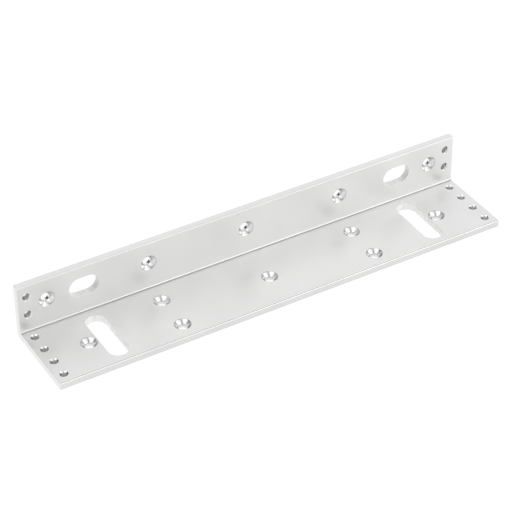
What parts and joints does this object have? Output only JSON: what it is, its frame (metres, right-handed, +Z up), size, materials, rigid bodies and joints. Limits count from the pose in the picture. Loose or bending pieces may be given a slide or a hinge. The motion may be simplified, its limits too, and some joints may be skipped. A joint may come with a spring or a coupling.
{
  "type": "magnetic lock mounting bracket",
  "caption": "L-shaped extruded aluminium angle, drilled, countersunk and slotted, that mounts a magnetic lock body on a door frame.",
  "frame": {"origin": "middle of the footprint, on the plane that the wide leg rests on", "axes": "+X along the length, +Y from the free edge of the wide leg to the back of the upright leg, +Z up"},
  "size_m": [0.25, 0.047, 0.031],
  "materials": {
    "clear_anodised_aluminium": "satin clear anodised extrusion, with bright machined countersinks and hole walls"
  },
  "bodies": {
    "root": {"angle_bracket": "clear_anodised_aluminium"}
  },
  "joints": []
}
